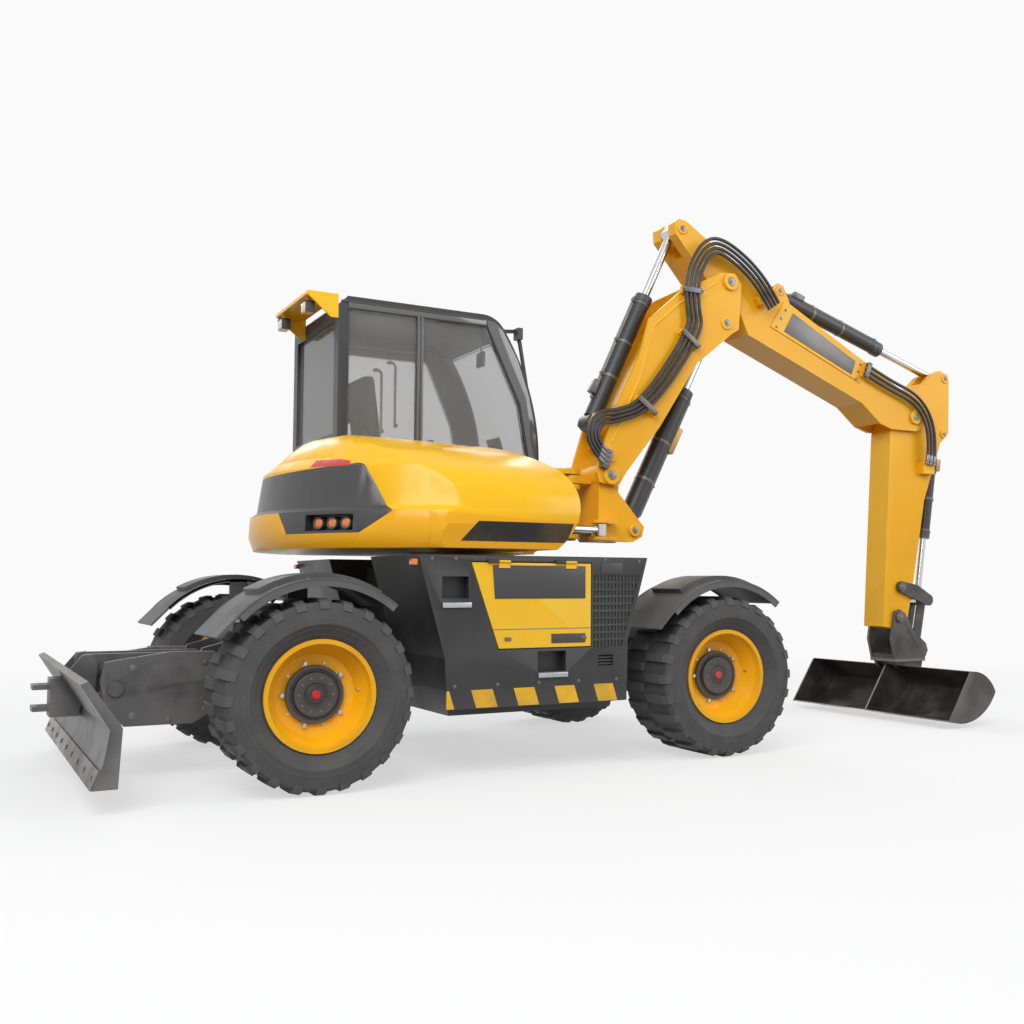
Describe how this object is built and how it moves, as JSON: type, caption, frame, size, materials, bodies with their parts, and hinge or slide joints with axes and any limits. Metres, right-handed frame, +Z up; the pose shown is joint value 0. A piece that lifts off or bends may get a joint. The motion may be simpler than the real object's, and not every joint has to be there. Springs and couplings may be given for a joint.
{
  "type": "wheeled excavator",
  "caption": "Compact wheeled excavator: offset cab, kingpost swing boom in two pieces, ditching bucket, rear dozer blade, four steered wheels.",
  "frame": {"origin": "on the ground under the middle of the overall box, as parked", "axes": "+X forwards, along the machine to its arm; +Y to the left, the cab's side; +Z up"},
  "size_m": [7, 2.5, 3.775],
  "materials": {
    "yellow_paint": "gloss yellow paint",
    "grey_paint": "satin dark grey paint",
    "steel_black": "worn black paint",
    "rim_paint": "gloss yellow paint",
    "tyre_rubber": "matt rubber",
    "rod_chrome": "hard chrome",
    "cab_glass": "lightly tinted",
    "cab_plastic": "moulded grey plastic",
    "seat_fabric": "woven seat cloth",
    "hose_rubber": "satin hose cover",
    "cast_iron": "bare casting"
  },
  "bodies": {
    "chassis": {"chassis_frame": "grey_paint", "axle_front": "grey_paint", "axle_rear": "grey_paint", "slew_ring": "grey_paint", "pod_right": "grey_paint", "pod_left": "grey_paint", "engine_block": "cast_iron"},
    "engine_cover": {"engine_cover": "grey_paint"},
    "upper": {"upper_frame": "yellow_paint", "counterweight": "yellow_paint", "rear_panel": "grey_paint", "body_cover": "yellow_paint", "cab_shell": "grey_paint", "cab_glass": "cab_glass", "rear_canopy": "yellow_paint", "seat_base": "cab_plastic", "seat_cushion": "seat_fabric", "seat_back": "seat_fabric", "console": "cab_plastic"},
    "door": {"door_frame": "grey_paint", "door_glass": "cab_glass"},
    "kingpost": {"kingpost": "yellow_paint"},
    "lower_boom": {"lower_boom": "yellow_paint", "boom_hoses": "hose_rubber"},
    "upper_boom": {"upper_boom": "yellow_paint", "dipper_hoses": "hose_rubber"},
    "dipper": {"dipper": "yellow_paint"},
    "bucket": {"quick_hitch": "steel_black", "bucket": "steel_black"},
    "lever": {"lever": "steel_black"},
    "link": {"link": "steel_black"},
    "blade_arm": {"blade_arm": "grey_paint"},
    "blade_link": {"blade_link": "grey_paint"},
    "blade": {"blade": "grey_paint"},
    "knuckle_front_left": {"knuckle_front_left": "grey_paint"},
    "wheel_front_left": {"rim_front_left": "rim_paint", "tyre_front_left": "tyre_rubber"},
    "knuckle_front_right": {"knuckle_front_right": "grey_paint"},
    "wheel_front_right": {"rim_front_right": "rim_paint", "tyre_front_right": "tyre_rubber"},
    "knuckle_rear_left": {"knuckle_rear_left": "grey_paint"},
    "wheel_rear_left": {"rim_rear_left": "rim_paint", "tyre_rear_left": "tyre_rubber"},
    "knuckle_rear_right": {"knuckle_rear_right": "grey_paint"},
    "wheel_rear_right": {"rim_rear_right": "rim_paint", "tyre_rear_right": "tyre_rubber"},
    "lift_barrel": {"lift_barrel": "grey_paint"},
    "lift_rod": {"lift_rod": "rod_chrome"},
    "tab_barrel": {"tab_barrel": "grey_paint"},
    "tab_rod": {"tab_rod": "rod_chrome"},
    "dipper_barrel": {"dipper_barrel": "grey_paint"},
    "dipper_rod": {"dipper_rod": "rod_chrome"},
    "bucket_barrel": {"bucket_barrel": "grey_paint"},
    "bucket_rod": {"bucket_rod": "rod_chrome"},
    "swing_barrel": {"swing_barrel": "grey_paint"},
    "swing_rod": {"swing_rod": "rod_chrome"},
    "blade_barrel": {"blade_barrel": "grey_paint"},
    "blade_rod": {"blade_rod": "rod_chrome"}
  },
  "joints": [
    {"name": "slew", "type": "hinge", "parent": "chassis", "child": "upper", "pos_m": [-0.945, 0, 1.268], "axis": [0, 0, 1], "continuous": true},
    {"name": "steer_front_left", "type": "hinge", "parent": "chassis", "child": "knuckle_front_left", "pos_m": [0.355, 0.8, 0.505], "axis": [0, 0, 1], "range_deg": [-25, 25]},
    {"name": "spin_front_left", "type": "hinge", "parent": "knuckle_front_left", "child": "wheel_front_left", "pos_m": [0.355, 0.995, 0.505], "axis": [0, 1, 0], "continuous": true},
    {"name": "steer_front_right", "type": "hinge", "parent": "chassis", "child": "knuckle_front_right", "pos_m": [0.355, -0.8, 0.505], "axis": [0, 0, 1], "range_deg": [-25, 25]},
    {"name": "spin_front_right", "type": "hinge", "parent": "knuckle_front_right", "child": "wheel_front_right", "pos_m": [0.355, -0.995, 0.505], "axis": [0, 1, 0], "continuous": true},
    {"name": "steer_rear_left", "type": "hinge", "parent": "chassis", "child": "knuckle_rear_left", "pos_m": [-2.245, 0.8, 0.505], "axis": [0, 0, 1], "range_deg": [-25, 25]},
    {"name": "spin_rear_left", "type": "hinge", "parent": "knuckle_rear_left", "child": "wheel_rear_left", "pos_m": [-2.245, 0.995, 0.505], "axis": [0, 1, 0], "continuous": true},
    {"name": "steer_rear_right", "type": "hinge", "parent": "chassis", "child": "knuckle_rear_right", "pos_m": [-2.245, -0.8, 0.505], "axis": [0, 0, 1], "range_deg": [-25, 25]},
    {"name": "spin_rear_right", "type": "hinge", "parent": "knuckle_rear_right", "child": "wheel_rear_right", "pos_m": [-2.245, -0.995, 0.505], "axis": [0, 1, 0], "continuous": true},
    {"name": "engine_cover_hinge", "type": "hinge", "parent": "chassis", "child": "engine_cover", "pos_m": [-1.025, -1.2083, 1.212], "axis": [-1, 0, 0], "range_deg": [0, 80]},
    {"name": "door_hinge", "type": "hinge", "parent": "upper", "child": "door", "pos_m": [-1.505, 1.0623, 1.6], "axis": [0, 0, 1], "range_deg": [0, 100]},
    {"name": "boom_swing", "type": "hinge", "parent": "upper", "child": "kingpost", "pos_m": [-0.175, -0.1, 1.6], "axis": [0, 0, 1], "range_deg": [-60, 60]},
    {"name": "swing_barrel_pivot", "type": "hinge", "parent": "upper", "child": "swing_barrel", "pos_m": [-0.885, -0.47, 1.455], "axis": [0, 0, 1], "range_deg": [-3.27, 3.27]},
    {"name": "swing_rod_slide", "type": "slide", "parent": "swing_barrel", "child": "swing_rod", "axis": [0.9864, 0.1644, 0], "range_m": [-0.2367, 0.2367]},
    {"name": "lift", "type": "hinge", "parent": "kingpost", "child": "lower_boom", "pos_m": [0.035, -0.1, 1.84], "axis": [0, -1, 0], "range_deg": [-45, 25]},
    {"name": "lift_barrel_pivot", "type": "hinge", "parent": "kingpost", "child": "lift_barrel", "pos_m": [0.25, -0.1, 1.465], "axis": [0, -1, 0], "range_deg": [-42.01, 23.78]},
    {"name": "lift_rod_slide", "type": "slide", "parent": "lift_barrel", "child": "lift_rod", "axis": [0.4495, 0, 0.8933], "range_m": [-0.3112, 0.1747]},
    {"name": "upper_boom_fold", "type": "hinge", "parent": "lower_boom", "child": "upper_boom", "pos_m": [1.075, -0.1, 3.35], "axis": [0, 1, 0], "range_deg": [-45, 15]},
    {"name": "tab_barrel_pivot", "type": "hinge", "parent": "lower_boom", "child": "tab_barrel", "pos_m": [-0.02, -0.1, 2.23], "axis": [0, -1, 0], "range_deg": [-1.25, 1.08]},
    {"name": "tab_rod_slide", "type": "slide", "parent": "tab_barrel", "child": "tab_rod", "axis": [0.4262, 0, 0.9046], "range_m": [-0.4141, 0.1407]},
    {"name": "dipper_curl", "type": "hinge", "parent": "upper_boom", "child": "dipper", "pos_m": [3.04, -0.1, 2.49], "axis": [0, 1, 0], "range_deg": [-60, 35]},
    {"name": "dipper_barrel_pivot", "type": "hinge", "parent": "upper_boom", "child": "dipper_barrel", "pos_m": [1.64, -0.1, 3.385], "axis": [0, -1, 0], "range_deg": [-3.47, 5.24]},
    {"name": "dipper_rod_slide", "type": "slide", "parent": "dipper_barrel", "child": "dipper_rod", "axis": [0.9609, 0, -0.2768], "range_m": [-0.5309, 0.3114]},
    {"name": "bucket_curl", "type": "hinge", "parent": "dipper", "child": "bucket", "pos_m": [2.85, -0.1, 0.82], "axis": [0, 1, 0], "range_deg": [-60, 45]},
    {"name": "lever_pivot", "type": "hinge", "parent": "dipper", "child": "lever", "pos_m": [2.885, -0.1, 1.068], "axis": [0, 1, 0], "range_deg": [-60.52, 45.64]},
    {"name": "link_pivot", "type": "hinge", "parent": "lever", "child": "link", "pos_m": [3.195, -0.1, 0.96], "axis": [0, 1, 0], "range_deg": [-26.59, 35.12]},
    {"name": "bucket_barrel_pivot", "type": "hinge", "parent": "dipper", "child": "bucket_barrel", "pos_m": [3.42, -0.1, 2.38], "axis": [0, -1, 0], "range_deg": [-1.89, 1.67]},
    {"name": "bucket_rod_slide", "type": "slide", "parent": "bucket_barrel", "child": "bucket_rod", "axis": [-0.1565, 0, -0.9877], "range_m": [-0.3152, 0.2374]},
    {"name": "blade_lift", "type": "hinge", "parent": "chassis", "child": "blade_arm", "pos_m": [-2.505, 0, 0.509], "axis": [0, 1, 0], "range_deg": [-20, 20]},
    {"name": "blade_link_pivot", "type": "hinge", "parent": "chassis", "child": "blade_link", "pos_m": [-2.63, 0, 0.648], "axis": [0, 1, 0], "range_deg": [-21, 21]},
    {"name": "blade_tilt", "type": "hinge", "parent": "blade_arm", "child": "blade", "pos_m": [-3.111, 0, 0.509], "axis": [0, -1, 0], "range_deg": [-21, 21]},
    {"name": "blade_barrel_pivot", "type": "hinge", "parent": "chassis", "child": "blade_barrel", "pos_m": [-2.545, 0, 0.6], "axis": [0, -1, 0], "range_deg": [-21.03, 21.03]},
    {"name": "blade_rod_slide", "type": "slide", "parent": "blade_barrel", "child": "blade_rod", "axis": [-0.9157, 0, -0.4018], "range_m": [-0.0382, 0.0382]}
  ],
  "couplings": [
    {"joint": "steer_front_right", "follows": "steer_front_left", "ratio": 1},
    {"joint": "steer_rear_right", "follows": "steer_rear_left", "ratio": 1},
    {"joint": "swing_barrel_pivot", "follows": "boom_swing", "ratio": 0.037877},
    {"joint": "swing_rod_slide", "follows": "boom_swing", "m_per_rad": 0.22217},
    {"joint": "lift_barrel_pivot", "follows": "lift", "ratio": 0.91131},
    {"joint": "lift_rod_slide", "follows": "lift", "m_per_rad": 0.39117},
    {"joint": "tab_barrel_pivot", "follows": "upper_boom_fold", "ratio": 0.005452},
    {"joint": "tab_rod_slide", "follows": "upper_boom_fold", "m_per_rad": 0.52214},
    {"joint": "dipper_barrel_pivot", "follows": "dipper_curl", "ratio": -0.070592},
    {"joint": "dipper_rod_slide", "follows": "dipper_curl", "m_per_rad": 0.5032},
    {"joint": "lever_pivot", "follows": "bucket_curl", "ratio": 0.99203},
    {"joint": "link_pivot", "follows": "bucket_curl", "ratio": -0.56863},
    {"joint": "bucket_barrel_pivot", "follows": "bucket_curl", "ratio": 0.014799},
    {"joint": "bucket_rod_slide", "follows": "bucket_curl", "m_per_rad": 0.29719},
    {"joint": "blade_link_pivot", "follows": "blade_lift", "ratio": 1},
    {"joint": "blade_tilt", "follows": "blade_lift", "ratio": 1},
    {"joint": "blade_barrel_pivot", "follows": "blade_lift", "ratio": -1.0015},
    {"joint": "blade_rod_slide", "follows": "blade_lift", "m_per_rad": -0.098004}
  ]
}
